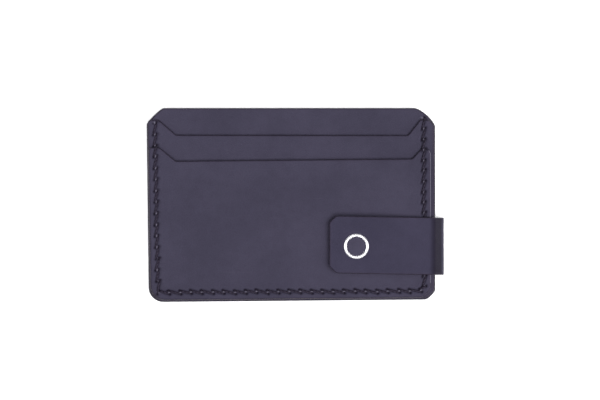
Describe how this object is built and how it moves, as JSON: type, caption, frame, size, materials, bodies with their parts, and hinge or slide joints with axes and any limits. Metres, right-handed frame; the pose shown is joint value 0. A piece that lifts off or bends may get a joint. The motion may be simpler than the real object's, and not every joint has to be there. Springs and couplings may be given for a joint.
{
  "type": "card holder",
  "caption": "Slim leather card holder with stepped front pockets, a saddle-stitched edge and a side strap closed by a ring snap.",
  "frame": {"origin": "under the middle of the outline, strap loop included, on the face it lies on", "axes": "+Z out of the front face, +X along the long side towards the strap's loop, +Y towards the pocket mouths"},
  "size_m": [0.1054, 0.0684, 0.0104],
  "materials": {
    "leather_back": "matte, edges burnished dark",
    "leather_panel": "matte, fine smooth grain, slate grey with a violet cast",
    "leather_strap": "matte, fine smooth grain, creased at its folds",
    "snap_polished": "polished nickel plate",
    "snap_inner": "satin nickel plate",
    "spring_wire": "drawn spring wire",
    "waxed_thread": "waxed black polyester thread"
  },
  "bodies": {
    "holder": {"back_panel": "leather_back", "upper_panel": "leather_panel", "middle_pocket_panel": "leather_panel", "front_pocket_panel": "leather_panel", "strap_back": "leather_strap", "snap_stud": "snap_inner", "snap_back_ring": "snap_inner", "perimeter_thread": "waxed_thread", "anchor_thread": "waxed_thread"},
    "strap_side": {"strap_side": "leather_strap"},
    "strap_tab": {"strap_tab": "leather_strap", "snap_cap_ring": "snap_polished", "snap_socket": "snap_inner", "snap_spring": "spring_wire"}
  },
  "joints": [
    {"name": "strap_unroll", "type": "hinge", "parent": "holder", "child": "strap_side", "pos_m": [0.05247, -0.01437, 0.001], "axis": [0, 1, 0], "range_deg": [0, 110]},
    {"name": "tab_unbend", "type": "hinge", "parent": "strap_side", "child": "strap_tab", "pos_m": [0.04898, -0.01437, 0.00739], "axis": [0, 1, 0], "range_deg": [0, 60.5]}
  ],
  "couplings": [
    {"joint": "strap_unroll", "follows": "tab_unbend", "ratio": 1.8182}
  ]
}
